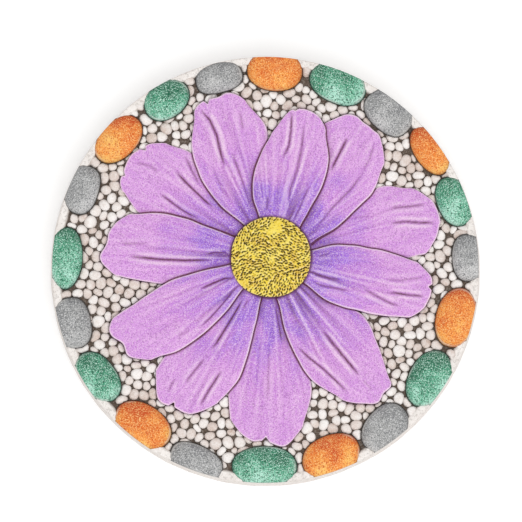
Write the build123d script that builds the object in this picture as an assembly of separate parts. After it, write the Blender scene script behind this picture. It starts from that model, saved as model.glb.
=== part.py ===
from build123d import *

import os
from dataclasses import dataclass
from math import cos, exp, hypot, pi, radians, sin, sqrt, tan
from random import Random

# Garden stepping stone, cast in one piece of concrete: a round slab with a flower in low relief,
# a bed of small pebbles round it and a ring of twenty larger stones at the rim.
# Millimetres. The underside lies on z = 0, the slab's centre is on the z axis, and the top of the
# picture points along +Y.

# Slab
SLAB_DIAMETER = 254.0  # across the foot of the wall, just above its chamfer
WALL_DRAFT = 4.0  # degrees, so that the casting leaves its mould
FOOT_CHAMFER = 1.0
RIM_HEIGHT = 22.0  # top of the plain land at the rim
RIM_EDGE_CHAMFER = 1.0
RIM_LAND_WIDTH = 4.0
BED_DEPTH = 2.0  # floor of the pebble bed below the rim land
BED_SLOPE_WIDTH = 2.0  # how far the land takes to come down to the bed

# Flower
FLOWER_OFFSET_X = 3.3  # centre of the flower from the centre of the slab
FLOWER_OFFSET_Y = 6.9
PETAL_ROOT = 20.0  # petals start this far from the flower's centre, under the eye
PETAL_RISE = 2.9  # lowest layer of petals above the bed, at the petal's edge
LAYER_STEP = 1.2  # each layer of petals above the one below
PETAL_CROWN = 0.9  # middle of a petal above its edges
PETAL_EDGE_DROP = 0.8  # rounding of the petal's rim
TIP_DROP = 0.7  # the petal comes down towards its tip
ROOT_DROP = 1.2  # the petal dips where it goes under the eye
SHOULDER_FALL = 3.0  # rounding of the petal's two shoulders, seen from above
EYE_RADIUS = 23.8
EYE_DOME_RISE = 3.3  # top of the eye above the edges of the highest petals
EYE_EDGE_CHAMFER = 1.0

# Rim stones
STONE_SEAT_DEPTH = 1.0  # level at which a rim stone has its stated width, below the rim land
STONE_CROWN = 5.1  # top of a rim stone above that level
STONE_SKIRT = 1.08  # the stone's face goes this much further out, to below the bed

# Pebbles of the bed
PEBBLE_COUNT = 1500  # seats in the whole disc, of which those with room in the bed are used
PEBBLE_SEED = 4  # fixes the irregular spread
PEBBLE_SCATTER = 3.0  # how far a seat is first shifted from its place in the even spread
PEBBLE_SETTLING = 8  # rounds in which seats that are too close push each other apart
PEBBLE_PUSH = 0.4  # share of what is missing between two seats that each gives way in a round
PEBBLE_JOINT = 0.4  # gap between neighbours
PEBBLE_LONGEST = 3.4  # furthest that a corner of a pebble lies from its seat
PEBBLE_LEAST_REACH = 1.9  # mean reach of the smallest that are modelled
PEBBLE_RISE = 2.2  # top of a pebble above the bed
PEBBLE_SEAT_DEPTH = 0.5  # level below the bed at which a pebble has its stated size
PEBBLE_TOP_SHARE = 0.6  # flat top of a pebble, as a share of its outline
PEBBLE_SIDES = 6
PEBBLE_ROOMS = (0.4, 1.0, 1.6, 2.2, 2.8, 3.4)  # steps in which the room round a seat is measured

# Fineness of the shaped faces
PETAL_ROWS = 15
PETAL_COLUMNS = 15
STONE_ROWS = 9
SURFACE_TOLERANCE = 0.03
SURFACE_SMOOTHING = (1.0, 1.0, 1.0)  # equal weight on length, bending and change of bending
EMBEDMENT = 6.0  # raised forms reach at least this far into the slab
MOULD_MARGIN = 3.0  # the uncut blank stands out this far beyond the wall and the underside

BED_HEIGHT = RIM_HEIGHT - BED_DEPTH
GOLDEN_ANGLE = pi * (3 - sqrt(5))
WALL_LEAN = tan(radians(WALL_DRAFT))


def wall_radius(height):
    """Radius of the drafted wall at a height above the ground."""
    return SLAB_DIAMETER / 2 - (height - FOOT_CHAMFER) * WALL_LEAN


@dataclass(frozen=True)
class Fold:
    """Crease along a petal: its ends as (distance out, offset across), depth and half-width."""

    start: tuple
    end: tuple
    depth: float = 0.6
    width: float = 2.2


@dataclass(frozen=True)
class Nick:
    """Notch in a petal's tip: offset across the petal, depth and radius."""

    offset: float
    depth: float
    radius: float = 1.8


@dataclass(frozen=True)
class Petal:
    """Petal of the flower, in its own frame: out along its axis, across anticlockwise.

    left and right are the offsets of its two edges from the axis, at even steps from the root to
    the shoulder. tip is how far its end reaches, at even steps from the right shoulder to the left.
    """

    axis: float
    layer: int
    left: tuple
    right: tuple
    tip: tuple
    folds: tuple = ()
    nicks: tuple = ()


PETALS = (
    Petal(
        axis=107.5,
        layer=1,
        left=(8.0, 19.5, 25.2, 25.0, 17.8),
        right=(-1.0, -4.0, -14.0, -20.5, -14.0),
        tip=(95.0, 100.3, 100.0, 100.0, 97.5),
        folds=(Fold((96, 13.5), (58, 10), 0.8, 2.6), Fold((66, 3.3), (29, 2.7), 0.5)),
        nicks=(Nick(8.3, 2.6),),
    ),
    Petal(
        axis=76.0,
        layer=2,
        left=(12.0, 19.5, 21.7, 20.4, 17.5),
        right=(-12.0, -16.2, -19.3, -18.7, -13.5),
        tip=(83.0, 88.0, 89.8, 86.8, 74.0),
        folds=(Fold((86, 8.6), (58, 6.6)), Fold((83, 0), (29, -3))),
        nicks=(Nick(7.0, 1.4),),
    ),
    Petal(
        axis=56.0,
        layer=1,
        left=(-1.0, 1.0, 3.0, 8.0, 20.0),
        right=(-15.5, -22.0, -25.8, -28.0, -24.5),
        tip=(86.0, 95.0, 96.5, 96.0, 83.0),
        folds=(Fold((84, 2.2), (60, -0.6), 0.8, 1.8), Fold((74, -17.2), (24, -11.8))),
    ),
    Petal(
        axis=12.5,
        layer=0,
        left=(6.0, 11.0, 20.0, 27.0, 22.5),
        right=(-4.0, -4.5, -9.5, -17.0, -17.5),
        tip=(92.0, 99.0, 102.3, 100.0, 92.0),
        folds=(Fold((99, -0.8), (73, 4.4)), Fold((96, 10.9), (72, 13.8), 0.5)),
    ),
    Petal(
        axis=-10.0,
        layer=2,
        left=(7.5, 14.0, 15.5, 15.1, 12.3),
        right=(-11.0, -19.5, -21.7, -22.5, -20.5),
        tip=(89.0, 94.5, 96.3, 95.5, 88.0),
        folds=(Fold((93, -7), (68, -8.4)), Fold((56, -8.6), (80, -15.2), 0.5)),
        nicks=(Nick(-0.8, 2.4),),
    ),
    Petal(
        axis=-49.0,
        layer=1,
        left=(8.0, 11.0, 18.3, 13.5, 5.5),
        right=(-13.0, -22.0, -27.5, -28.7, -23.5),
        tip=(93.0, 99.7, 105.3, 103.5, 104.5),
        folds=(Fold((52, -5.2), (88, -6.4), 0.8, 1.8), Fold((49, -22.9), (90, -17.9))),
    ),
    Petal(
        axis=-90.0,
        layer=0,
        left=(5.0, 10.0, 20.0, 24.0, 18.8),
        right=(-8.0, -12.5, -18.0, -25.0, -24.0),
        tip=(98.0, 107.0, 108.3, 111.0, 102.0),
        folds=(Fold((49, -1.2), (86, -1.8), 0.5),),
        nicks=(Nick(-3.0, 2.6, 2.4),),
    ),
    Petal(
        axis=-120.5,
        layer=1,
        left=(6.5, 12.0, 16.8, 20.0, 16.5),
        right=(-7.0, -9.5, -14.0, -22.5, -25.0),
        tip=(94.0, 105.5, 105.0, 103.4, 93.0),
        folds=(
            Fold((27, -1.8), (65, -2.4), 0.8),
            Fold((71, -3.3), (90, -6), 0.5),
            Fold((72, 8.8), (97, 8.2), 0.5, 1.6),
        ),
        nicks=(Nick(-5.9, 3.2),),
    ),
    Petal(
        axis=-152.0,
        layer=2,
        left=(7.5, 15.5, 21.0, 23.0, 20.0),
        right=(-7.0, -12.2, -15.8, -14.2, -12.5),
        tip=(101.0, 104.7, 100.7, 101.3, 93.0),
        folds=(Fold((26, 0.4), (46, -3), 0.7), Fold((26, 5.4), (58, 16.6), 0.5)),
    ),
    Petal(
        axis=177.0,
        layer=1,
        left=(6.0, 12.5, 18.5, 18.2, 15.5),
        right=(-11.0, -15.5, -20.7, -23.0, -21.5),
        tip=(87.0, 95.0, 97.3, 100.3, 93.0),
        folds=(Fold((84, 3.8), (33, 3.4), 0.8, 2.0),),
    ),
    Petal(
        axis=143.0,
        layer=0,
        left=(5.0, 11.0, 17.0, 26.0, 21.5),
        right=(-6.0, -8.5, -14.0, -21.5, -17.0),
        tip=(93.0, 99.4, 102.2, 100.2, 97.0),
        folds=(Fold((75, -6.8), (43, -3)), Fold((75, 9.2), (47, 7))),
        nicks=(Nick(-6.2, 2.6), Nick(13.0, 1.8)),
    ),
)


@dataclass(frozen=True)
class RimStone:
    """Oval stone set in the rim: azimuth, half-length along the rim, half-width, how far its
    centre lies inside the wall, and the turn of its long axis."""

    azimuth: float
    half_length: float
    half_width: float
    inset: float
    turn: float = 0.0


RIM_STONES = (
    RimStone(87.3, 16.6, 12.0, 8.4),
    RimStone(68.7, 17.4, 11.8, 8.0, 2.0),
    RimStone(51.9, 15.9, 11.0, 8.3, 4.0),
    RimStone(35.9, 16.2, 8.9, 6.3, 3.0),
    RimStone(19.8, 15.1, 10.2, 7.5, -2.0),
    RimStone(3.3, 14.2, 9.2, 6.4),
    RimStone(-14.3, 18.1, 12.0, 9.9, -1.0),
    RimStone(-33.8, 17.7, 12.3, 9.8, -6.0),
    RimStone(-53.0, 15.9, 11.6, 8.7, -11.0),
    RimStone(-70.6, 17.9, 12.2, 9.3, -3.0),
    RimStone(-90.2, 19.2, 12.1, 9.7),
    RimStone(-109.8, 16.5, 9.6, 5.6, 5.0),
    RimStone(-128.1, 18.1, 12.2, 9.1, -6.0),
    RimStone(-147.3, 16.5, 10.9, 8.7, -6.0),
    RimStone(-164.4, 15.5, 10.7, 8.1, 3.5),
    RimStone(176.7, 18.7, 9.8, 8.1),
    RimStone(156.4, 14.7, 9.8, 8.0, -7.0),
    RimStone(138.4, 16.9, 11.0, 9.9, 2.0),
    RimStone(120.2, 14.7, 10.8, 9.9, -5.0),
    RimStone(103.6, 14.3, 9.0, 9.3, -1.0),
)


def along(values, place):
    """Height at place (0 to 1) of the smooth curve through evenly spaced values."""
    spans = len(values) - 1
    position = min(max(place, 0.0), 1.0) * spans
    first = min(int(position), spans - 1)
    t = position - first
    start, end = values[first], values[first + 1]
    start_slope = (end - values[max(first - 1, 0)]) / 2
    end_slope = (values[min(first + 2, spans)] - start) / 2
    return (
        start * (1 + 2 * t) * (1 - t) ** 2
        + start_slope * t * (1 - t) ** 2
        + end * t * t * (3 - 2 * t)
        - end_slope * t * t * (1 - t)
    )


def fold_height(fold, out, across):
    """Groove of Gaussian section along a straight line, fading to nothing at both ends."""
    run, drift = fold.end[0] - fold.start[0], fold.end[1] - fold.start[1]
    length = hypot(run, drift)
    step_out, step_across = out - fold.start[0], across - fold.start[1]
    progress = (step_out * run + step_across * drift) / length**2
    distance = (step_across * run - step_out * drift) / length
    if not 0.0 < progress < 1.0:
        return 0.0
    fade = min(1.0, 5 * progress * (1 - progress))
    return -fold.depth * fade * exp(-((distance / fold.width) ** 2))


def petal_point(petal, out_share, side):
    """Point of a petal's face: out_share runs 0 to 1 from root to tip, side -1 to 1 across."""
    reach = along(petal.tip, (side + 1) / 2) - SHOULDER_FALL * side**10
    out = PETAL_ROOT + (reach - PETAL_ROOT) * out_share
    left, right = along(petal.left, out_share), along(petal.right, out_share)
    across = (left + right) / 2 + side * (left - right) / 2
    rise = PETAL_RISE + petal.layer * LAYER_STEP
    rise += PETAL_CROWN * (1 - side**2) * (1 - 0.5 * out_share**2)
    rise -= TIP_DROP * out_share**6 + PETAL_EDGE_DROP * side**8
    rise -= ROOT_DROP * (1 - out_share) ** 8
    rise += sum(fold_height(fold, out, across) for fold in petal.folds)
    return Vector(out, across, BED_HEIGHT + rise)


def block_under(points, height):
    """Block under a smooth face through a grid of points, reaching height below the face."""
    face = Face.make_surface_from_array_of_points(
        points, tol=SURFACE_TOLERANCE, smoothing=SURFACE_SMOOTHING, min_deg=3, max_deg=5
    )
    return Solid.extrude(face, Vector(0, 0, -height))


def steps(first, last, count):
    """Evenly spaced values from first to last."""
    return [first + (last - first) * step / (count - 1) for step in range(count)]


def build_petal(petal):
    """Petal as a block under its shaped face, with the nicks cut from its tip."""
    points = [
        [petal_point(petal, out_share, side) for side in steps(-1, 1, PETAL_COLUMNS)]
        for out_share in steps(0, 1, PETAL_ROWS)
    ]
    block = block_under(points, PETAL_RISE + EMBEDMENT)
    for nick in petal.nicks:
        width = petal.left[-1] - petal.right[-1]
        reach = along(petal.tip, (nick.offset - petal.right[-1]) / width)
        centre = Pos(reach + nick.radius - nick.depth, nick.offset, BED_HEIGHT)
        block -= centre * Cylinder(nick.radius, 4 * EMBEDMENT)
    return Pos(FLOWER_OFFSET_X, FLOWER_OFFSET_Y) * Rot(Z=petal.axis) * block


def build_eye():
    """Low dome in the middle of the flower, with a chamfered edge."""
    edge = BED_HEIGHT + PETAL_RISE + 2 * LAYER_STEP
    top = edge + EYE_DOME_RISE
    bottom = BED_HEIGHT - EMBEDMENT
    shoulder = (EYE_RADIUS - EYE_EDGE_CHAMFER, edge + EYE_EDGE_CHAMFER)
    fall = top - shoulder[1]
    with BuildPart() as eye:
        with BuildSketch(Plane.XZ):
            with BuildLine():
                RadiusArc((0, top), shoulder, (shoulder[0] ** 2 + fall**2) / (2 * fall))
                Polyline(shoulder, (EYE_RADIUS, edge), (EYE_RADIUS, bottom), (0, bottom), (0, top))
            make_face()
        revolve(axis=Axis.Z)
    return Pos(FLOWER_OFFSET_X, FLOWER_OFFSET_Y) * eye.part


def build_blank():
    """Uncut slab: the land round the rim, its chamfer at 45 degrees and the sunk bed inside it."""
    land_outer = wall_radius(RIM_HEIGHT)
    land_inner = land_outer - RIM_LAND_WIDTH
    blank_radius = SLAB_DIAMETER / 2 + MOULD_MARGIN
    chamfer_run = blank_radius - land_outer + RIM_EDGE_CHAMFER
    with BuildPart() as blank:
        with BuildSketch(Plane.XZ):
            with BuildLine():
                Polyline(
                    (0, BED_HEIGHT),
                    (0, -MOULD_MARGIN),
                    (blank_radius, -MOULD_MARGIN),
                    (blank_radius, RIM_HEIGHT - chamfer_run),
                    (land_outer - RIM_EDGE_CHAMFER, RIM_HEIGHT),
                    (land_inner, RIM_HEIGHT),
                    (land_inner - BED_SLOPE_WIDTH, BED_HEIGHT),
                    close=True,
                )
            make_face()
        revolve(axis=Axis.Z)
    return blank.part


def stone_point(stone, width_share, length_share):
    """Point of a rim stone's domed face, which has its stated size at the level of its seat."""
    height = STONE_CROWN * (1 - width_share**2 - length_share**2)
    return Vector(stone.half_width * width_share, stone.half_length * length_share, height)


def build_rim_stones():
    """Ring of domed stones; those that stand out of the wall are cut flush with it later."""
    shares = steps(-STONE_SKIRT, STONE_SKIRT, STONE_ROWS)
    seat = RIM_HEIGHT - STONE_SEAT_DEPTH
    stones = []
    for stone in RIM_STONES:
        points = [[stone_point(stone, width, length) for length in shares] for width in shares]
        dome = block_under(points, STONE_CROWN + EMBEDMENT)
        centre = Pos(wall_radius(RIM_HEIGHT) - stone.inset, 0, seat)
        stones.append(Rot(Z=stone.azimuth) * centre * Rot(Z=-stone.turn) * dome)
    return stones


@dataclass(frozen=True)
class Pebble:
    """Small pebble: its seat, and its corners as offsets from the seat."""

    x: float
    y: float
    corners: tuple

    def mean_reach(self):
        """Mean distance of the corners from the seat."""
        return sum(hypot(*corner) for corner in self.corners) / len(self.corners)


def petal_covers(petal, x, y, margin):
    """Whether a petal, grown by the margin, lies over a place of the bed."""
    axis = radians(petal.axis)
    out = (x - FLOWER_OFFSET_X) * cos(axis) + (y - FLOWER_OFFSET_Y) * sin(axis)
    across = (y - FLOWER_OFFSET_Y) * cos(axis) - (x - FLOWER_OFFSET_X) * sin(axis)
    if out < 0:
        return False
    reach, share, side = max(petal.tip), 0.0, 0.0
    for _ in range(3):
        share = (out - PETAL_ROOT) / (reach + margin - PETAL_ROOT)
        left, right = along(petal.left, share) + margin, along(petal.right, share) - margin
        side = (2 * across - left - right) / (left - right)
        reach = along(petal.tip, (side + 1) / 2) - SHOULDER_FALL * min(abs(side), 1.0) ** 10
    return share < 1 and abs(side) < 1


def stone_covers(stone, x, y, margin):
    """Whether a rim stone, grown by the margin, lies over a place of the bed."""
    azimuth, turn = radians(stone.azimuth), radians(-stone.turn)
    out = x * cos(azimuth) + y * sin(azimuth) - wall_radius(RIM_HEIGHT) + stone.inset
    side = y * cos(azimuth) - x * sin(azimuth)
    width = (out * cos(turn) + side * sin(turn)) / (stone.half_width + margin)
    length = (side * cos(turn) - out * sin(turn)) / (stone.half_length + margin)
    return hypot(width, length) < STONE_SKIRT


def room_at(x, y):
    """Distance from a place to the next petal, rim stone or land, in steps; 0 where covered."""
    to_land = wall_radius(RIM_HEIGHT) - RIM_LAND_WIDTH - hypot(x, y)
    room = 0.0
    for margin in PEBBLE_ROOMS:
        covered = any(petal_covers(petal, x, y, margin) for petal in PETALS)
        if covered or to_land < margin or any(stone_covers(stone, x, y, margin) for stone in RIM_STONES):
            break
        room = margin
    return room


def spread_seats():
    """Seats all over the disc: placed like seeds in a sunflower, shifted at random, and then
    pushed apart in rounds wherever two are closer than the even pitch."""
    rim = wall_radius(RIM_HEIGHT)
    pitch = rim * sqrt(pi / PEBBLE_COUNT)
    shift = Random(PEBBLE_SEED)
    seats = []
    for number in range(PEBBLE_COUNT):
        radius, turn = rim * sqrt((number + 0.5) / PEBBLE_COUNT), GOLDEN_ANGLE * number
        x = radius * cos(turn) + shift.uniform(-PEBBLE_SCATTER, PEBBLE_SCATTER)
        y = radius * sin(turn) + shift.uniform(-PEBBLE_SCATTER, PEBBLE_SCATTER)
        seats.append((x, y))
    pairs = []
    for first, (x, y) in enumerate(seats):
        for second, (a, b) in enumerate(seats[:first]):
            if hypot(x - a, y - b) < 3 * pitch:
                pairs.append((first, second))
    for _ in range(PEBBLE_SETTLING):
        moves = [(0.0, 0.0)] * PEBBLE_COUNT
        for first, second in pairs:
            across, up = seats[first][0] - seats[second][0], seats[first][1] - seats[second][1]
            gap = hypot(across, up)
            push = PEBBLE_PUSH * max(pitch / gap - 1, 0.0)
            moves[first] = (moves[first][0] + push * across, moves[first][1] + push * up)
            moves[second] = (moves[second][0] - push * across, moves[second][1] - push * up)
        seats = [(x + across, y + up) for (x, y), (across, up) in zip(seats, moves)]
    return seats


def lay_pebbles():
    """Pebbles of the bed, each as large as it can be on its own side of the middle lines between
    it and its neighbours, and in the room that it has."""
    seats = [(x, y, room_at(x, y)) for x, y in spread_seats()]
    seats = [seat for seat in seats if seat[2] > 0]
    pebbles = []
    for number, (x, y, room) in enumerate(seats):
        others = [(a - x, b - y) for a, b, _ in seats if 0 < hypot(a - x, b - y) < 3 * PEBBLE_LONGEST]
        corners = []
        for step in range(PEBBLE_SIDES):
            turn = 2 * pi * step / PEBBLE_SIDES + number
            reach = min(PEBBLE_LONGEST, room)
            for across, up in others:
                limit = (hypot(across, up) - PEBBLE_JOINT) / 2
                facing = (across * cos(turn) + up * sin(turn)) / hypot(across, up)
                if facing * reach > limit:
                    reach = limit / facing
            corners.append((reach * cos(turn), reach * sin(turn)))
        pebbles.append(Pebble(x, y, tuple(corners)))
    return pebbles


def build_pebble(pebble):
    """Pebble with a flat top and a few leaning sides, set into the bed."""
    seat = Vector(pebble.x, pebble.y, BED_HEIGHT - PEBBLE_SEAT_DEPTH)
    top = Vector(pebble.x, pebble.y, BED_HEIGHT + PEBBLE_RISE)
    low = [seat + Vector(*corner) for corner in pebble.corners]
    high = [top + Vector(*corner) * PEBBLE_TOP_SHARE for corner in pebble.corners]
    walls = [low, high]
    for step in range(PEBBLE_SIDES):
        after = (step + 1) % PEBBLE_SIDES
        walls.append([low[step], low[after], high[after], high[step]])
    return Solid(Shell([Face(Wire.make_polygon(wall)) for wall in walls]))


def build_envelope():
    """Outside of the mould: drafted wall, chamfered foot and flat underside."""
    top = RIM_HEIGHT + 2 * STONE_CROWN
    with BuildPart() as envelope:
        with BuildSketch(Plane.XZ):
            with BuildLine():
                Polyline(
                    (0, 0),
                    (wall_radius(0) - FOOT_CHAMFER, 0),
                    (wall_radius(FOOT_CHAMFER), FOOT_CHAMFER),
                    (wall_radius(top), top),
                    (0, top),
                    close=True,
                )
            make_face()
        revolve(axis=Axis.Z)
    return envelope.part


def build_stepping_stone():
    """Whole casting as one solid: the blank and its raised forms, cut to the mould's outside."""
    raised = [build_petal(petal) for petal in PETALS]
    raised += build_rim_stones()
    pebbles = [pebble for pebble in lay_pebbles() if pebble.mean_reach() > PEBBLE_LEAST_REACH]
    raised += [build_pebble(pebble) for pebble in pebbles]
    raised.append(build_eye())
    return build_blank().fuse(*raised) & build_envelope()


os.makedirs("parts", exist_ok=True)
export_step(build_stepping_stone(), "parts/stepping_stone.step")
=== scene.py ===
"""Looks of the garden stepping stone: a round casting in hand-painted concrete.

The flower's petals and eye, the stones of the rim, the pebbles of the bed and the slab under them
are separate surfaces worked out with numpy in the frame of the solid. They are all dressed with
matt paint, which is worn on the high places and has a dark wash in the hollows. Light and shade
are painted in too: painted shadows where parts overlap or stand on the bed, painted shade on the
side of the stones away from the light, and painted highlights on edges and on the pebbles' tops.
"""

import logging
import math
import random
from dataclasses import dataclass
from enum import Enum

import bpy
import numpy as np
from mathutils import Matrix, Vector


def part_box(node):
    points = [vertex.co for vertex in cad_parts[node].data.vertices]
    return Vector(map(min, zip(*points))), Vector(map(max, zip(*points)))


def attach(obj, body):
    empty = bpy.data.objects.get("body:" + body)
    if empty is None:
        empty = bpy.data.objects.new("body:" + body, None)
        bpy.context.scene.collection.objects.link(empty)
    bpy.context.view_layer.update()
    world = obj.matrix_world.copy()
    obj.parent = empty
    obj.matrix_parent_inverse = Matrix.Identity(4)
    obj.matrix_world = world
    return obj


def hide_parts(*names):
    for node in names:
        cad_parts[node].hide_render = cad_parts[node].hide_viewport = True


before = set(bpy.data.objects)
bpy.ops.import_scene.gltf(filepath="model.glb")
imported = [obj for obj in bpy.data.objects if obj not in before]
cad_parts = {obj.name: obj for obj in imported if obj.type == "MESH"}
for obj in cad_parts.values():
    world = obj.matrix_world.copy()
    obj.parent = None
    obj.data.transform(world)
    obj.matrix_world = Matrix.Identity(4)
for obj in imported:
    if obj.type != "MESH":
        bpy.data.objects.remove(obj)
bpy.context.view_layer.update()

MM = 0.001
NODE = "stepping_stone"
BODY = "root"
GOLDEN_ANGLE = math.pi * (3 - math.sqrt(5))
FAR = 99.0  # more millimetres than any gap that matters
LOG = logging.getLogger("stepping_stone")


# Shared geometry

class Grit:
    """Seeded noise on a square lattice that repeats, for the unevenness of a casting."""

    SIZE = 128

    def __init__(self, seed: int) -> None:
        """Draws the lattice.

        Args:
            seed: Number that fixes the random values.
        """
        self.lattice = np.random.default_rng(seed).uniform(-1.0, 1.0, (self.SIZE, self.SIZE))

    def at(self, x: np.ndarray, y: np.ndarray, cell: float) -> np.ndarray:
        """Noise at points: the four nearest lattice values, blended by smooth steps.

        Args:
            x: First coordinates.
            y: Second coordinates.
            cell: Distance between lattice points, in the units of x and y.

        Returns:
            Values between -1 and 1, in the shape of x.
        """
        column, row = np.floor(x / cell), np.floor(y / cell)
        s, t = x / cell - column, y / cell - row
        s, t = s * s * (3 - 2 * s), t * t * (3 - 2 * t)
        c0, r0 = column.astype(int) % self.SIZE, row.astype(int) % self.SIZE
        c1, r1 = (c0 + 1) % self.SIZE, (r0 + 1) % self.SIZE
        low = self.lattice[c0, r0] * (1 - s) + self.lattice[c1, r0] * s
        high = self.lattice[c0, r1] * (1 - s) + self.lattice[c1, r1] * s
        return low * (1 - t) + high * t


@dataclass
class Surface:
    """Vertices in millimetres, faces and paint attributes of one piece.

    tone picks the paint's colour, wash is the share of dark wash and of painted shade and shadow, and
    worn the share of rubbed concrete and of painted highlights. lay holds the place in the petal's own
    directions, for strokes that follow it.
    """

    points: np.ndarray
    faces: list
    tone: np.ndarray
    wash: np.ndarray
    worn: np.ndarray
    lay: np.ndarray | None = None

    def to_object(self, name: str, material: bpy.types.Material) -> bpy.types.Object:
        """Makes the Blender object, smooth shaded, riding on the casting.

        Args:
            name: Name of the piece.
            material: Finish of the whole piece.

        Returns:
            The new object.
        """
        mesh = bpy.data.meshes.new(name)
        mesh.from_pydata((self.points.reshape(-1, 3) * MM).tolist(), [], self.faces)
        mesh.polygons.foreach_set("use_smooth", np.ones(len(mesh.polygons), bool))
        for label in ("tone", "wash", "worn"):
            values = np.clip(getattr(self, label), 0.0, 1.0).astype(np.float32).ravel()
            mesh.attributes.new(label, "FLOAT", "POINT").data.foreach_set("value", values)
        if self.lay is not None:
            values = (self.lay.reshape(-1, 3) * MM).astype(np.float32).ravel()
            mesh.attributes.new("lay", "FLOAT_VECTOR", "POINT").data.foreach_set("vector", values)
        mesh.materials.append(material)
        mesh.update()
        piece = bpy.data.objects.new(name, mesh)
        bpy.context.scene.collection.objects.link(piece)
        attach(piece, BODY)
        triangles = sum(len(face) - 2 for face in self.faces)
        LOG.info("%s: %d points, %d triangles", name, len(mesh.vertices), triangles)
        return piece

    @classmethod
    def of_domes(
        cls, poles: np.ndarray, rings: np.ndarray, paint: tuple, pole_paint: tuple
    ) -> "Surface":
        """Closed domes, each a pole and then rings of points from the pole outwards.

        Fans go round the poles, quads between the rings, and one flat floor closes each dome.

        Args:
            poles: The middle point of each dome.
            rings: Points by dome, ring and place in the ring.
            paint: tone, wash and worn of those points, or values that spread over them.
            pole_paint: tone, wash and worn of the poles.

        Returns:
            The surface of all the domes.
        """
        count, ring_count, segments = rings.shape[:3]
        first = np.arange(count)[:, None] * (1 + ring_count * segments)
        here = np.arange(segments)
        beside = (here + 1) % segments
        fan = np.stack([first + 0 * here, first + 1 + here, first + 1 + beside], -1)
        ring = (1 + np.arange(ring_count - 1) * segments)[None, :, None] + first[:, :, None]
        inner, inner_next = ring + here, ring + beside
        quads = np.stack([inner, inner + segments, inner_next + segments, inner_next], -1)
        floor = (first + 1 + (ring_count - 1) * segments + here)[:, ::-1]
        faces = fan.reshape(-1, 3).tolist() + quads.reshape(-1, 4).tolist() + floor.tolist()
        layers = []
        for middle, values in zip(pole_paint, paint):
            values = np.broadcast_to(values, rings.shape[:3]).reshape(count, -1)
            middle = np.broadcast_to(middle, count)[:, None]
            layers.append(np.concatenate([middle, values], 1).ravel())
        points = np.concatenate([poles.reshape(count, 1, 3), rings.reshape(count, -1, 3)], 1)
        return cls(points.reshape(-1, 3), faces, *layers)


def along(values: tuple, place: np.ndarray) -> np.ndarray:
    """Smooth curve through evenly spaced values, by cubic pieces with averaged slopes.

    Args:
        values: Heights of the curve at even steps.
        place: Where to read it, 0 to 1.

    Returns:
        Heights in the shape of place.
    """
    knots = np.asarray(values, float)
    spans = len(knots) - 1
    position = np.clip(place, 0.0, 1.0) * spans
    first = np.minimum(position.astype(int), spans - 1)
    t = position - first
    start, end = knots[first], knots[first + 1]
    start_slope = (end - knots[np.maximum(first - 1, 0)]) / 2
    end_slope = (knots[np.minimum(first + 2, spans)] - start) / 2
    rise = start * (1 + 2 * t) * (1 - t) ** 2 + end * t * t * (3 - 2 * t)
    return rise + start_slope * t * (1 - t) ** 2 - end_slope * t * t * (1 - t)


def turned(x: np.ndarray, y: np.ndarray, degrees: float) -> tuple[np.ndarray, np.ndarray]:
    """Places after an anticlockwise turn about the origin.

    Args:
        x: First coordinates.
        y: Second coordinates.
        degrees: Angle of the turn.

    Returns:
        The turned coordinates.
    """
    c, s = math.cos(math.radians(degrees)), math.sin(math.radians(degrees))
    return x * c - y * s, x * s + y * c


def around(count: int) -> np.ndarray:
    """Even angles round a full turn."""
    return np.linspace(0.0, 2 * math.pi, count, endpoint=False)


def distance_to_path(x: np.ndarray, y: np.ndarray, path: list) -> tuple[np.ndarray, np.ndarray]:
    """Distance from points to a line of straight runs, and how far along the nearest place is.

    Args:
        x: First coordinates of the points.
        y: Second coordinates of the points.
        path: Corners of the line.

    Returns:
        Distances, and progress along the line from 0 to 1.
    """
    corners = np.asarray(path, float)
    lengths = np.hypot(*(corners[1:] - corners[:-1]).T)
    total, walked = lengths.sum(), 0.0
    best = np.full(x.shape, np.inf)
    progress = np.zeros(x.shape)
    for start, end, length in zip(corners[:-1], corners[1:], lengths):
        run = (end - start) / length
        t = np.clip((x - start[0]) * run[0] + (y - start[1]) * run[1], 0.0, length)
        gap = np.hypot(x - start[0] - t * run[0], y - start[1] - t * run[1])
        nearer = gap < best
        best = np.where(nearer, gap, best)
        progress = np.where(nearer, (walked + t) / total, progress)
        walked += length
    return best, progress


def inside(x: np.ndarray, y: np.ndarray, outline: np.ndarray) -> np.ndarray:
    """Whether points lie in a polygon: a ray to the right crosses its edges an odd number of times.

    Args:
        x: First coordinates of the points.
        y: Second coordinates of the points.
        outline: Corners of the closed polygon, as rows of x and y.

    Returns:
        True for each point inside.
    """
    odd = np.zeros(x.shape, bool)
    for (x0, y0), (x1, y1) in zip(outline, np.roll(outline, -1, axis=0)):
        if y0 != y1:
            spans = (y0 > y) != (y1 > y)
            odd ^= spans & (x < x0 + (y - y0) * (x1 - x0) / (y1 - y0))
    return odd


def soft_edge(distance: np.ndarray, width: float) -> np.ndarray:
    """Bell-shaped falloff: 1 at no distance, about a third at the width."""
    return np.exp(-((distance / width) ** 2))


# Finishes

def linear(code: str) -> tuple[float, float, float, float]:
    """Linear colour for a node from an sRGB hex code.

    Args:
        code: Six hex digits.

    Returns:
        Red, green, blue and an alpha of 1.
    """
    parts = [int(code[place:place + 2], 16) / 255 for place in (0, 2, 4)]
    red, green, blue = (
        part / 12.92 if part <= 0.04045 else ((part + 0.055) / 1.055) ** 2.4 for part in parts
    )
    return red, green, blue, 1.0


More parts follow.
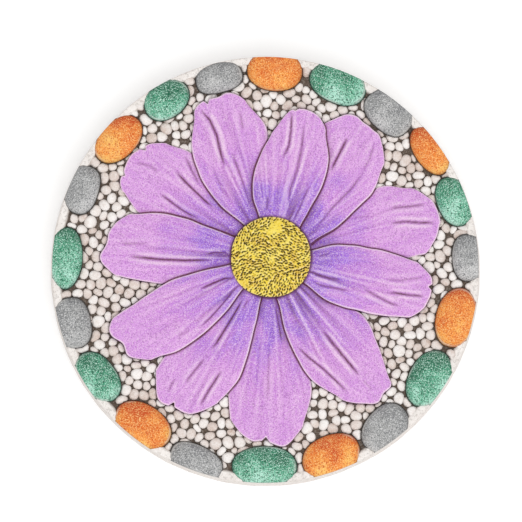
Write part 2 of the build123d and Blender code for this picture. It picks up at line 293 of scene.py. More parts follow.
def add_node(
    tree: bpy.types.NodeTree, kind: str, inputs: dict | None = None, stops: tuple = (), **settings
) -> bpy.types.Node:
    """Adds a node with its settings, colour stops, values and links.

    Args:
        tree: Node tree of the material or world.
        kind: Blender's name of the node type.
        inputs: Values or sockets to link, by the input's name or number.
        stops: Places and hex codes of a colour ramp.
        settings: Properties of the node.

    Returns:
        The new node.
    """
    node = tree.nodes.new(kind)
    for name, value in settings.items():
        setattr(node, name, value)
    for number, (place, code) in enumerate(stops):
        ramp = node.color_ramp.elements
        stop = ramp[number] if number < len(ramp) else ramp.new(place)
        stop.position, stop.color = place, linear(code)
    for key, value in (inputs or {}).items():
        if isinstance(value, bpy.types.NodeSocket):
            tree.links.new(value, node.inputs[key])
        else:
            node.inputs[key].default_value = value
    return node


# Noise levels between which a pattern fades in
STROKE_LEVELS = (0.3, 0.7)
SPOT_LEVELS = (0.51, 0.60)
EDGE_LEVELS = (0.35, 0.65)
EDGE_SHARES = (0.75, 1.15)  # how far the grains thin or thicken worn paint and wash
PIT_FINENESS = 0.73  # against the light grains, which are smaller than the dark pits


class Strokes(Enum):
    """Which directions the painter's strokes follow."""

    BLOTCHES = "object"
    ALONG_PETAL = "lay"


@dataclass(frozen=True)
class PaintedConcrete:
    """Matt acrylic on cast concrete: dull, with the sand showing through as fine specks.

    tones is the paint's range by the tone attribute. specks are the light grains where the brush
    skipped, flecks the dark pits that hold wash. wash is the colour of the dark wash, also laid as
    painted shade and shadow, and worn that of rubbed concrete, also laid as painted highlights.
    Sizes are in millimetres. The grain is drawn coarser than real sand, which would be too fine to
    see here.
    """

    name: str
    tones: tuple
    speck: str
    fleck: str
    wash: str
    worn: str
    stroke: tuple = (9.0, 9.0, 9.0)
    stroke_depth: float = 0.35
    speck_size: float = 0.6
    speck_share: float = 0.45
    fleck_share: float = 0.3
    grain_height: float = 0.10
    roughness: float = 0.82
    gloss: float = 0.3
    strokes: Strokes = Strokes.BLOTCHES

    def material(self) -> bpy.types.Material:
        """Builds the node material.

        Returns:
            The material, from tone, wash and worn attributes and grains in object space.
        """
        finish = bpy.data.materials.new(self.name)
        finish.use_nodes = True
        tree = finish.node_tree
        tree.nodes.clear()
        place = add_node(tree, "ShaderNodeTexCoord").outputs["Object"]
        layout = place
        if self.strokes is Strokes.ALONG_PETAL:
            layout = add_node(tree, "ShaderNodeAttribute", attribute_name="lay").outputs["Vector"]
        scale = tuple(1 / (size * MM) for size in self.stroke)
        layout = add_node(tree, "ShaderNodeMapping", {"Vector": layout, "Scale": scale}).outputs[0]
        inputs = {"Vector": layout, "Scale": 1.0, "Detail": 4.0, "Roughness": 0.6}
        strokes = add_node(tree, "ShaderNodeTexNoise", inputs).outputs[0]
        inputs = {"Vector": place, "Detail": 2.0, "Roughness": 0.7}
        fineness = 1 / (self.speck_size * MM)
        grains, pits = (
            add_node(
                tree, "ShaderNodeTexNoise", {**inputs, "Scale": scale}, noise_dimensions=dimensions
            ).outputs[0]
            for scale, dimensions in ((fineness, "3D"), (PIT_FINENESS * fineness, "4D"))
        )
        low, high = STROKE_LEVELS
        inputs = {"Value": strokes, 1: low, 2: high, 3: -self.stroke_depth, 4: self.stroke_depth}
        shift = add_node(tree, "ShaderNodeMapRange", inputs).outputs[0]
        tone = add_node(tree, "ShaderNodeAttribute", attribute_name="tone").outputs["Fac"]
        shade = add_node(
            tree, "ShaderNodeMath", {0: tone, 1: shift}, operation="ADD", use_clamp=True
        ).outputs[0]
        paint = add_node(tree, "ShaderNodeValToRGB", {0: shade}, self.tones).outputs[0]
        coats = []
        low, high = SPOT_LEVELS
        spots = ((self.speck, grains, self.speck_share), (self.fleck, pits, self.fleck_share))
        for colour, noise, share in spots:
            inputs = {"Value": noise, 1: low, 2: high, 3: 0.0, 4: share}
            coats.append((colour, add_node(tree, "ShaderNodeMapRange", inputs).outputs[0]))
        inputs = {"Value": grains, **dict(enumerate(EDGE_LEVELS + EDGE_SHARES, 1))}
        ragged = add_node(tree, "ShaderNodeMapRange", inputs).outputs[0]
        # The worn coat also lays the painted highlights, and the wash coat the painted shade and shadows.
        for colour, label in ((self.worn, "worn"), (self.wash, "wash")):
            share = add_node(tree, "ShaderNodeAttribute", attribute_name=label).outputs["Fac"]
            amount = add_node(
                tree, "ShaderNodeMath", {0: share, 1: ragged}, operation="MULTIPLY", use_clamp=True
            )
            coats.append((colour, amount.outputs[0]))
        for colour, amount in coats:
            inputs = {0: amount, 6: paint, 7: linear(colour)}
            paint = add_node(tree, "ShaderNodeMix", inputs, data_type="RGBA").outputs[2]
        inputs = {"Height": grains, "Distance": self.grain_height * MM, "Strength": 1.0}
        relief = add_node(tree, "ShaderNodeBump", inputs).outputs[0]
        inputs = {"Base Color": paint, "Roughness": self.roughness, "Normal": relief}
        shader = add_node(tree, "ShaderNodeBsdfPrincipled", inputs)
        shader.inputs["Specular IOR Level"].default_value = self.gloss
        add_node(tree, "ShaderNodeOutputMaterial", {"Surface": shader.outputs[0]})
        return finish


# In each paint below, wash is also the colour of painted shade and shadow, and worn of painted highlights.
PETAL_PAINT = PaintedConcrete(
    name="lilac_matt_acrylic_on_concrete",
    tones=((0.0, "7f50c4"), (0.3, "9c68d8"), (0.55, "bc7dd8"), (0.8, "ce8dda"), (1.0, "daa1e0")),
    speck="f2d2ee",
    fleck="94589f",
    wash="55222f",
    worn="f8e2ee",
    stroke=(14.0, 3.2, 5.0),
    stroke_depth=0.16,
    speck_size=0.56,
    speck_share=0.72,
    fleck_share=0.6,
    strokes=Strokes.ALONG_PETAL,
)
EYE_PAINT = PaintedConcrete(
    name="yellow_matt_acrylic_on_concrete",
    tones=((0.0, "e0b834"), (0.5, "f2d644"), (1.0, "f8e670")),
    speck="fbf0a8",
    fleck="c99a34",
    wash="24150a",
    worn="f8eac0",
    stroke=(6.0, 6.0, 6.0),
    speck_size=0.7,
    speck_share=0.3,
)
ORANGE_PAINT = PaintedConcrete(
    name="orange_matt_acrylic_on_concrete",
    tones=((0.0, "c8481a"), (0.35, "e67a30"), (0.7, "f29a46"), (1.0, "f6bb62")),
    speck="fdd08a",
    fleck="c4541e",
    wash="3c2418",
    worn="ecd8c8",
    speck_share=0.9,
    fleck_share=0.85,
)
GREEN_PAINT = PaintedConcrete(
    name="green_matt_acrylic_on_concrete",
    tones=((0.0, "1f6a4c"), (0.4, "469876"), (0.75, "70b899"), (1.0, "a6dcc6")),
    speck="d2f2e4",
    fleck="1d553f",
    wash="20342c",
    worn="e4eae2",
    speck_share=0.85,
    fleck_share=0.95,
)
GREY_PAINT = PaintedConcrete(
    name="grey_matt_acrylic_on_concrete",
    tones=((0.0, "7b7b7c"), (0.5, "999998"), (1.0, "bfbebd")),
    speck="dcdcdc",
    fleck="6c6d70",
    wash="34302e",
    worn="e0deda",
    speck_share=0.9,
    fleck_share=0.9,
)
PEBBLE_PAINT = PaintedConcrete(
    name="cream_dry_brushed_concrete",
    tones=((0.0, "c0a799"), (0.4, "dacbc3"), (0.75, "e8dfda"), (1.0, "f3eeeb")),
    speck="fbf8f5",
    fleck="b9a596",
    wash="4f4136",
    worn="f8f5f2",
    stroke=(4.0, 4.0, 4.0),
    stroke_depth=0.32,
    speck_size=0.7,
    speck_share=0.35,
)
BODY_PAINT = PaintedConcrete(
    name="bare_concrete_with_brown_wash",
    tones=((0.0, "4d4036"), (0.35, "75655a"), (0.6, "d6ccc5"), (1.0, "f3eeea")),
    speck="d8cec4",
    fleck="4d4137",
    wash="3a2f27",
    worn="eeeae6",
    stroke=(7.0, 7.0, 7.0),
    stroke_depth=0.1,
    speck_size=1.1,
    speck_share=0.3,
    fleck_share=0.25,
    roughness=0.9,
)


# Slab

@dataclass
class Slab:
    """Round slab under the relief, with a drafted wall, a plain rim land and a sunk bed."""

    draft: float = 4.0
    foot_chamfer: float = 1.0
    rim_height: float = 22.0
    rim_edge: float = 1.0
    land_width: float = 4.0
    bed_depth: float = 2.0
    slope_width: float = 2.0
    middle: float = 4.0
    hidden_radius: float = 56.0
    bed_radius: float = 60.0
    segments: int = 640
    top_roughness: float = 0.16
    wall_roughness: float = 0.12
    bed_tone: float = 0.2
    land_tone: float = 0.94
    wall_tone: float = 0.85
    slope_wash: float = 0.55
    seed: int = 3

    def __post_init__(self) -> None:
        """Takes the diameter from the solid and sets up the unevenness."""
        low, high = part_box(NODE)
        self.diameter = (high.x - low.x) / MM
        self.bed = self.rim_height - self.bed_depth
        self.grit = Grit(self.seed)

    def wall_radius(self, height: np.ndarray | float) -> np.ndarray | float:
        """Radius of the drafted wall at a height above the ground."""
        return self.diameter / 2 - (height - self.foot_chamfer) * math.tan(math.radians(self.draft))

    def profile(self) -> tuple[np.ndarray, np.ndarray]:
        """Section of the slab from the middle of its top, over the rim and wall, to the underside.

        The rings are few under the flower, up to the hidden radius, and close in the open bed.

        Returns:
            Radii and heights of the rings.
        """
        rim = self.wall_radius(self.rim_height)
        slope_top = rim - self.land_width
        slope_foot = slope_top - self.slope_width
        turn = np.linspace(0.0, math.pi / 2, 5)[1:-1]
        wall = np.linspace(self.rim_height - self.rim_edge, self.foot_chamfer, 20)
        slope = np.linspace(0.0, 1.0, 6)[1:-1]
        land = np.linspace(slope_top, rim - self.rim_edge, 5)
        hidden = np.linspace(self.middle, self.hidden_radius, 6)
        bed = np.linspace(self.bed_radius, slope_foot, 56)
        under = np.linspace(self.diameter / 2 - self.foot_chamfer, self.middle, 24)
        sections = (
            (hidden, self.bed + 0 * hidden),
            (bed, self.bed + 0 * bed),
            (slope_foot + self.slope_width * slope, self.bed + self.bed_depth * slope),
            (land, self.rim_height + 0 * land),
            (
                rim - self.rim_edge * (1 - np.sin(turn)),
                self.rim_height - self.rim_edge * (1 - np.cos(turn)),
            ),
            (self.wall_radius(wall), wall),
            (under, 0 * under),
        )
        radii, heights = zip(*sections)
        return np.concatenate(radii), np.concatenate(heights)

    def build(self) -> bpy.types.Object:
        """Turns the profile round the axis and roughens the bed, the land and the wall.

        Returns:
            The slab's object.
        """
        radii, heights = self.profile()
        turn = around(self.segments)
        radius, height = radii[:, None] + 0 * turn, heights[:, None] + 0 * turn
        x, y = radius * np.cos(turn), radius * np.sin(turn)
        rim = self.wall_radius(self.rim_height)
        top_side = (height > self.bed - 1.0) & (radius < rim - self.rim_edge / 2)
        rough = self.grit.at(x, y, 1.7) + 0.6 * self.grit.at(x + 31, y, 4.1)
        height = height + np.where(top_side, self.top_roughness * rough, 0.0)
        height = np.minimum(height, self.rim_height + 0.1)
        wall_side = ~top_side & (height > self.foot_chamfer * 0.5)
        sag = self.wall_roughness * (1 + self.grit.at(x + 2 * height, y - 2 * height, 6.3))
        inward = 1 - np.where(wall_side, sag, 0.0) / radius
        points = np.stack([x * inward, y * inward, height], -1)
        land = np.clip((height - self.bed) / self.bed_depth, 0.0, 1.0)
        tone = self.bed_tone + (self.land_tone - self.bed_tone) * land
        tone = np.where(top_side, tone, self.wall_tone)
        wash = np.where(top_side, self.slope_wash * soft_edge(land - 0.25, 0.25), 0.0)
        middle = np.array([0.0, 0.0, self.bed])
        surface = Surface.of_domes(middle, points[None], (tone, wash, 0.0), (0.3, 0.0, 0.0))
        return surface.to_object("slab_body", BODY_PAINT.material())


# Flower

class Crease(Enum):
    """Crease or fold along a petal: its depth, width and darkness."""

    STRONG = (0.36, 1.3, 0.78)
    DARK = (0.26, 1.15, 0.6)
    SOFT = (0.18, 1.3, 0.36)
    FAINT = (0.12, 1.4, 0.16)


@dataclass(frozen=True)
class Nick:
    """Notch in a petal's tip: offset across, depth and half-width."""

    offset: float
    depth: float
    half_width: float = 1.8


@dataclass(frozen=True)
class Petal:
    """Petal in its own frame: out along its axis, across anticlockwise.

    left and right are the offsets of its edges at even steps from the root to the shoulder, and
    tip is how far its end reaches at even steps from the right shoulder to the left. Each of its
    creases is a kind and then places (out, across) along the crease.
    """

    axis: float
    layer: int
    left: tuple
    right: tuple
    tip: tuple
    nicks: tuple = ()
    creases: tuple = ()


PETALS = (
    Petal(
        107.5, 1, (8, 19.5, 25.2, 25, 17.8), (-1, -4, -14, -20.5, -14), (95, 100.3, 100, 100, 97.5),
        (Nick(8.3, 2.6),),
        (
            (Crease.STRONG, (96, 13.5), (88, 10), (78, 8.7), (69, 9.7), (58, 10)),
            (Crease.FAINT, (63.5, 17), (47.5, 15.3), (35.6, 11)),
            (Crease.SOFT, (66, 3.3), (45, 2.4), (28, 2.7)),
            (Crease.FAINT, (88, -8.6), (76, -6.8)),
        ),
    ),
    Petal(
        76, 2, (12, 19.5, 21.7, 20.4, 17.5), (-12, -16.2, -19.3, -18.7, -13.5), (83, 88, 89.8, 86.8, 74),
        (Nick(7, 1.4),),
        (
            (Crease.DARK, (86.5, 8.8), (75.5, 6.7), (66.6, 5.7), (58, 7.3)),
            (Crease.SOFT, (83, 0), (65.5, -2), (53.5, -2.5), (41, -1.3), (29, -3.6)),
            (Crease.SOFT, (35, 10.6), (26, 9)),
            (Crease.SOFT, (46.7, -12), (37, -10), (22.6, -7.7)),
        ),
    ),
    Petal(
        56, 1, (-1, 1, 3, 8, 20), (-15.5, -22, -25.8, -28, -24.5), (86, 95, 96.5, 96, 83),
        (),
        (
            (Crease.STRONG, (84, 2.2), (70, 0.4), (62, -0.6)),
            (Crease.FAINT, (61, -0.8), (46, -2.5), (34, -4.6)),
            (Crease.SOFT, (74, -17.3), (59, -16.5), (46.5, -14), (24, -11.8)),
            (Crease.FAINT, (91, -12.3), (81, -15.7), (71.5, -16.4)),
        ),
    ),
    Petal(
        12.5, 0, (6, 11, 20, 27, 22.5), (-4, -4.5, -9.5, -17, -17.5), (92, 99, 102.3, 100, 92),
        (),
        (
            (Crease.SOFT, (95.4, 10.9), (80.6, 12.3), (74.8, 13.6)),
            (Crease.DARK, (98.8, -0.8), (90, 1.1), (81.7, 3.6), (72.8, 4.4)),
            (Crease.FAINT, (50.4, 12.4), (62.3, 11.5)),
        ),
    ),
    Petal(
        -10, 2, (7.5, 14, 15.5, 15.1, 12.3), (-11, -19.5, -21.7, -22.5, -20.5), (89, 94.5, 96.3, 95.5, 88),
        (Nick(-0.8, 2.4),),
        (
            (Crease.DARK, (26, -5.6), (42.4, -6.3)),
            (Crease.SOFT, (25.6, -9.3), (31.3, -11.2), (49.3, -11.6)),
            (Crease.SOFT, (56.6, -8.6), (64.2, -11.4), (73.8, -14.5), (79.9, -15.2)),
            (Crease.DARK, (71.5, -8.3), (85.7, -7.6), (92.8, -7)),
            (Crease.FAINT, (91.4, 4.2), (77.2, -0.1), (68.4, -1.1)),
            (Crease.SOFT, (27.2, 5.4), (33.8, 8.4)),
        ),
    ),
    Petal(
        -49, 1, (8, 11, 18.3, 13.5, 5.5), (-13, -22, -27.5, -28.7, -23.5), (93, 99.7, 105.3, 103.5, 104.5),
        (),
        (
            (Crease.STRONG, (52, -5.3), (69, -6), (87.3, -6.4)),
            (Crease.DARK, (48.8, -22.9), (60, -21.7), (71, -19.7), (89.8, -17.9)),
            (Crease.FAINT, (24.5, -10.4), (33, -11.5), (47.3, -13.8)),
            (Crease.FAINT, (89, -6.3), (98.2, -6.5)),
        ),
    ),
    Petal(
        -90, 0, (5, 10, 20, 24, 18.8), (-8, -12.5, -18, -25, -24), (98, 107, 108.3, 111, 102),
        (Nick(-3, 2.6, 2.4),),
        (
            (Crease.FAINT, (48.9, -1.2), (84.3, -1.8)),
            (Crease.DARK, (27, 2.4), (37, 4.1), (50.7, 6.5)),
        ),
    ),
    Petal(
        -120.5, 1, (6.5, 12, 16.8, 20, 16.5), (-7, -9.5, -14, -22.5, -25), (94, 105.5, 105, 103.4, 93),
        (Nick(-5.9, 3.2),),
        (
            (Crease.STRONG, (27, -1.8), (42.6, -1.6), (59.3, -2), (65.2, -2.6)),
            (Crease.SOFT, (28.7, 1.2), (34.3, 1)),
            (Crease.SOFT, (71, -3.3), (80, -4.8), (89.7, -6)),
            (Crease.FAINT, (90, -12.6), (99, -11.9)),
            (Crease.DARK, (72, 8.9), (82.6, 8.3), (96.4, 8.2)),
        ),
    ),
    Petal(
        -152, 2, (7.5, 15.5, 21, 23, 20), (-7, -12.2, -15.8, -14.2, -12.5), (101, 104.7, 100.7, 101.3, 93),
        (),
        (
            (Crease.STRONG, (24.5, 1), (29.7, -1.8), (37.4, -2.5), (45.8, -3)),
            (Crease.DARK, (25.4, 5.2), (31.8, 8.4), (40.4, 11.9), (48.6, 14.9), (57, 17.1)),
            (Crease.FAINT, (62.3, 15.6), (70.2, 15.4)),
        ),
    ),
    Petal(
        177, 1, (6, 12.5, 18.5, 18.2, 15.5), (-11, -15.5, -20.7, -23, -21.5), (87, 95, 97.3, 100.3, 93),
        (),
        (
            (Crease.STRONG, (84, 3.8), (65.3, 4.6), (50.5, 4.4), (33, 3.2)),
            (Crease.DARK, (38.9, 0.3), (33, -1.2), (27, -1.5), (24, 0.1)),
            (Crease.FAINT, (89.3, -3.6), (71.6, -4.5)),
        ),
    ),
    Petal(
        143, 0, (5, 11, 17, 26, 21.5), (-6, -8.5, -14, -21.5, -17), (93, 99.4, 102.2, 100.2, 97),
        (Nick(-6.2, 2.6), Nick(13, 1.8)),
        (
            (Crease.STRONG, (75, -6.8), (67.4, -5.3), (51.3, -3.4), (43.7, -3.2)),
            (Crease.DARK, (74.9, 9.2), (60.2, 9.2), (53.4, 8.5), (47.2, 6.8)),
            (Crease.FAINT, (97.7, 3.5), (89.6, -0.4), (82.4, -0.6)),
            (Crease.SOFT, (76.6, -17.5), (68, -12.9), (58.9, -8.7)),
        ),
    ),
)


@dataclass
class Flower:
    """Layered petals round a domed eye, standing on the slab's bed."""

    slab: Slab
    offset_x: float = 3.3
    offset_y: float = 6.9
    root: float = 20.0
    petal_rise: float = 2.9
    layer_step: float = 1.2
    crown: float = 0.9
    edge_drop: float = 0.8
    tip_drop: float = 0.7
    root_drop: float = 1.2
    shoulder_fall: float = 3.0
    tip_wander: float = 0.35
    side_wander: float = 0.3
    edge_round: float = 0.9
    ridge_share: float = 0.2
    ridge_place: float = 2.2
    line_width: float = 0.3
    line_wash: float = 0.85
    band_wash: float = 0.28
    pleat_height: float = 0.25
    vein_height: float = 0.06
    wave_height: float = 0.2
    # Dark line, wash and painted shadow that higher petals and the eye leave on lower petals, with paler
    # painted shade and stains further out:
    overlap_line: float = 0.9
    overlap_wash_and_shadow: float = 0.97
    eye_wash_and_shadow: float = 0.9
    stain_and_shade: float = 0.6
    stain_and_shade_width: float = 2.6
    near_eye_stain_and_shade: float = 0.42
    stain_and_shade_reach: float = 17.0
    skirt_drops: tuple = (0.08, 0.25, 0.55, 1.0)
    skirt_wash_and_shade: tuple = (0.35, 0.8, 0.95, 1.0)
    skirt_flare: float = 0.25
    eye_radius: float = 23.8
    eye_rise: float = 3.2
    spacing: float = 0.5
    outline_steps: int = 60
    seed: int = 11

    def __post_init__(self) -> None:
        """Sets up the unevenness and the outlines that the petals cast on each other."""
        self.grit = Grit(self.seed)
        self.outlines = [self.outline(petal) for petal in PETALS]

    def to_slab(self, petal: Petal, out: np.ndarray, across: np.ndarray) -> np.ndarray:
        """Turns petal coordinates into places on the slab.

        Args:
            petal: The petal.
            out: Distances along its axis.
            across: Offsets from its axis.

        Returns:
            Rows of x and y.
        """
        x, y = turned(out, across, petal.axis)
        return np.stack([self.offset_x + x, self.offset_y + y], -1)

    def layout(self, petal: Petal, u: np.ndarray, v: np.ndarray) -> tuple[np.ndarray, np.ndarray]:
        """Places of the petal's surface: u runs from root to tip, v from right edge to left.

        The edges follow the petal's own offsets, and the tip its reach less the rounded shoulders
        and the nicks, which are notches with straight flanks.

        Args:
            petal: The petal.
            u: Share of the way out, 0 to 1.
            v: Share across, -1 to 1.

        Returns:
            Distances out and offsets across.
        """
        left, right = along(petal.left, u), along(petal.right, u)
        across = (left + right) / 2 + v * (left - right) / 2
        left, right = petal.left[-1], petal.right[-1]
        end = (left + right) / 2 + v * (left - right) / 2
        reach = along(petal.tip, (v + 1) / 2) - self.shoulder_fall * v**10
        for nick in petal.nicks:
            notch = np.clip(1 - np.abs(end - nick.offset) / nick.half_width, 0.0, 1.0)
            reach = reach - nick.depth * notch
        reach = reach + self.tip_wander * self.grit.at(end + petal.axis, 0 * end, 4.0)
        out = self.root + (reach - self.root) * u
        wander = self.side_wander * self.grit.at(out, 0 * out + petal.axis, 7.0)
        return out, across + wander * v**3

    def outline(self, petal: Petal) -> np.ndarray:
        """Closed outline of a petal on the slab, anticlockwise.

        Args:
            petal: The petal.

        Returns:
            Rows of x and y.
        """
        steps = np.linspace(0.0, 1.0, self.outline_steps)
        full = np.ones(self.outline_steps)
        u = np.concatenate([steps, full, steps[::-1]])
        v = np.concatenate([-full, 2 * steps - 1, full])
        return self.to_slab(petal, *self.layout(petal, u, v))

    def covers(self, petal: Petal, x: np.ndarray, y: np.ndarray, margin: float) -> np.ndarray:
        """Whether a petal, grown by a margin, lies over places of the bed.

        The place is turned into the petal's own directions, and its share of the way out and
        across are found in three rounds, because each depends on the other.

        Args:
            petal: The petal.
            x: First coordinates of the places.
            y: Second coordinates of the places.
            margin: How much larger the petal is taken to be.

        Returns:
            True for each covered place.
        """
        out, across = turned(x - self.offset_x, y - self.offset_y, -petal.axis)
        reach = np.full(x.shape, float(max(petal.tip)))
        for _ in range(3):
            share = (out - self.root) / (reach + margin - self.root)
            left, right = along(petal.left, share) + margin, along(petal.right, share) - margin
            side = (2 * across - left - right) / (left - right)
            fall = self.shoulder_fall * np.minimum(np.abs(side), 1.0) ** 10
            reach = along(petal.tip, (side + 1) / 2) - fall
        return (out >= 0) & (share < 1) & (np.abs(side) < 1)

    def shape(self, petal: Petal, u: np.ndarray, v: np.ndarray) -> tuple:
        """Height of the petal's face, and how deep it lies in its creases.

        The face is its layer's height with a crown across, a fall to the tip and edges and a dip
        to the root. Creases are bells across their paths, fading at both ends, with a low ridge
        beside them. Pleats are waves across the root that fade outwards.

        Args:
            petal: The petal.
            u: Share of the way out.
            v: Share across.

        Returns:
            Distances out, offsets across, heights and darkness of the creases.
        """
        out, across = self.layout(petal, u, v)
        rise = self.petal_rise + petal.layer * self.layer_step
        rise = rise + self.crown * (1 - v**2) * (1 - 0.5 * u**2)
        rise = rise - self.tip_drop * u**6 - self.edge_drop * v**8 - self.root_drop * (1 - u) ** 8
        dark = np.zeros(u.shape)
        for crease, *path in petal.creases:
            depth, width, darkness = crease.value
            gap, progress = distance_to_path(out, across, path)
            fade = np.clip(6 * progress * (1 - progress), 0.0, 1.0)
            band, line = soft_edge(gap, width), soft_edge(gap, self.line_width * width)
            ridge = self.ridge_share * soft_edge(gap - self.ridge_place * width, width)
            rise = rise + depth * fade * (ridge - band)
            paint = self.line_wash * line + self.band_wash * band
            dark = np.maximum(dark, darkness * fade * paint)
        spread = across / np.maximum(out, 1.0)
        pleat = self.grit.at(spread * 100 + 7 * petal.axis, out * 0.04, 8.0)
        pleat_share = np.clip(1.25 - u * 2.1, 0.0, 1.0) * (1 - v**6)
        dark = np.maximum(dark, 0.5 * pleat_share**2 * np.clip(-2.6 * pleat - 0.8, 0.0, 1.0))
        vein = self.grit.at(spread * 150 + 3 * petal.axis, out * 0.08, 4.5)
        wave = self.grit.at(out * 0.35 + 5 * petal.axis, across, 7.0)
        rise = rise + self.pleat_height * pleat * pleat_share
        rise = rise + self.vein_height * vein * np.clip(4 * u, 0.0, 1.0) + self.wave_height * wave
        return out, across, self.slab.bed + rise, dark

    def build_petal(self, number: int, petal: Petal, material: bpy.types.Material) -> bpy.types.Object:
        """Makes a petal: its face on a grid, a rounded edge and a skirt down into the slab.

        The grid is finer at the edges, by a cubic map of even steps. The skirt follows the
        outline in rings that step down and a little outwards, and a flat floor closes it.

        Args:
            number: Number of the petal, for its name.
            petal: The petal.
            material: Its finish.

        Returns:
            The petal's object.
        """
        length = max(petal.tip) - self.root
        width = max(np.subtract(petal.left, petal.right))
        rows, columns = int(length / self.spacing), int(width / self.spacing)
        s, t = np.meshgrid(np.linspace(0.0, 1.0, rows), np.linspace(-1.0, 1.0, columns), indexing="ij")
        u, v = 1.4 * s - 0.4 * s**3, 1.4 * t - 0.4 * t**3
        out, across, height, dark = self.shape(petal, u, v)
        side_gap = (1 - np.abs(v)) * (along(petal.left, u) - along(petal.right, u)) / 2
        edge_gap = np.minimum(side_gap, (1 - u) * length)
        bow = np.clip(1 - edge_gap / self.edge_round, 0.0, 1.0)
        height = height - self.edge_round * (1 - np.sqrt(1 - bow**2))
        place = self.to_slab(petal, out, across)
        curve = np.zeros(u.shape)
        curve[:, 2:-2] = height[:, 4:] + height[:, :-4] - 2 * height[:, 2:-2]
        curve *= edge_gap > self.edge_round
        # Dark wash in the creases and hollows, and painted shadow where higher petals and the eye stand on
        # this one.
        wash = np.maximum(dark + np.clip(curve * 1.5, 0.0, 0.25), self.shadow(petal, place))
        # Painted highlight with worn paint: a pale rim along the free, rounded edges.
        rim = 0.85 * soft_edge(edge_gap - 0.3, 0.5) * (1 - wash)
        worn = np.maximum(np.clip(-curve * 2.5, 0.0, 0.5), rim)
        cloud = self.grit.at(out + 9 * petal.axis, across * 1.6, 12.0)
        tone = np.clip(0.06 + 1.3 * u + 0.22 * cloud, 0.0, 0.9)
        points = np.concatenate([place, height[..., None]], -1).reshape(-1, 3)
        lay = np.stack([out, across, 0 * out + 7.0 * number], -1).reshape(-1, 3)
        grid = np.arange(rows * columns).reshape(rows, columns)
        loop = np.concatenate([grid[:, 0], grid[-1, 1:], grid[-2::-1, -1], grid[0, -2:0:-1]])
        skirt = self.skirt(points[loop])
        turns = len(self.skirt_drops)
        below = rows * columns + np.arange(turns * len(loop)).reshape(turns, -1)
        edges = [loop, *below]
        walls = [
            np.stack([low, np.roll(low, -1), np.roll(high, -1), high], -1)
            for high, low in zip(edges[:-1], edges[1:])
        ]
        cells = grid[:-1, :-1].ravel()
        quads = np.stack([cells, cells + columns, cells + columns + 1, cells + 1], -1)
        surface = Surface(
            np.concatenate([points, skirt]),
            np.concatenate([quads] + walls).tolist() + [below[-1][::-1].tolist()],
            np.concatenate([tone.ravel(), np.full(len(skirt), 0.4)]),
            # The skirt darkens downwards: dark wash and painted shade in the step under the petal's edge.
            np.concatenate([wash.ravel(), np.repeat(self.skirt_wash_and_shade, len(loop))]),
            np.concatenate([worn.ravel(), np.zeros(len(skirt))]),
            np.concatenate([lay] + [lay[loop]] * turns),
        )
        return surface.to_object(f"petal_{number:02d}", material)

    def skirt(self, border: np.ndarray) -> np.ndarray:
        """Rings under a petal's edge, each lower and a little further out than the last.

        Args:
            border: Points of the edge, anticlockwise.

        Returns:
            Points of all the rings.
        """
        heading = np.roll(border, -1, 0)[:, :2] - np.roll(border, 1, 0)[:, :2]
        heading /= np.maximum(np.hypot(heading[:, 0], heading[:, 1]), 1e-6)[:, None]
        outward = np.stack([heading[:, 1], -heading[:, 0], 0 * heading[:, 0]], -1)
        sunk = border * (1, 1, 0) + (0, 0, self.slab.bed - 1.0)
        rings = [
            border + (sunk - border) * drop + self.skirt_flare * drop * outward
            for drop in self.skirt_drops
        ]
        return np.concatenate(rings)

    def shadow(self, petal: Petal, place: np.ndarray) -> np.ndarray:
        """Painted shadow and dark wash on a petal where a higher petal or the eye stands on it.

        It is a dark line along the edge of what lies above, with paler painted shade and stains that
        spread further in patches and near the eye.

        Args:
            petal: The lower petal.
            place: Points of its face on the slab.

        Returns:
            Share of wash and painted shadow, falling away from the edges of what lies above.
        """
        x, y = place[..., 0], place[..., 1]
        ring = np.hypot(x - self.offset_x, y - self.offset_y) - self.eye_radius
        # Painted shadow of the eye: a dark ring on the petal round its foot.
        wash = self.eye_wash_and_shadow * soft_edge(ring, 1.0)
        near = soft_edge(np.maximum(ring, 0.0), self.stain_and_shade_reach)
        for other, outline in zip(PETALS, self.outlines):
            turn = (other.axis - petal.axis + 180) % 360 - 180
            if other.layer > petal.layer and abs(turn) < 75:
                gap, _ = distance_to_path(x, y, outline)
                # Painted shadow: a dark line along a higher petal's edge, with paler painted shade and
                # stains beyond.
                line = soft_edge(np.maximum(gap - self.overlap_line / 2, 0.0), 0.55)
                stain_and_shade = self.stain_and_shade * (0.5 + 0.5 * self.grit.at(x, y, 10.0)) ** 2
                stain_and_shade = (stain_and_shade + self.near_eye_stain_and_shade * near) * soft_edge(gap, self.stain_and_shade_width)
                wash = np.maximum(wash, np.maximum(self.overlap_wash_and_shadow * line, stain_and_shade))
        return wash

    def build(self) -> list:
        """Makes all the petals and the eye.

        Returns:
            Their objects.
        """
        finish = PETAL_PAINT.material()
        pieces = [self.build_petal(number, petal, finish) for number, petal in enumerate(PETALS, 1)]
        return pieces + [Eye(self).build()]


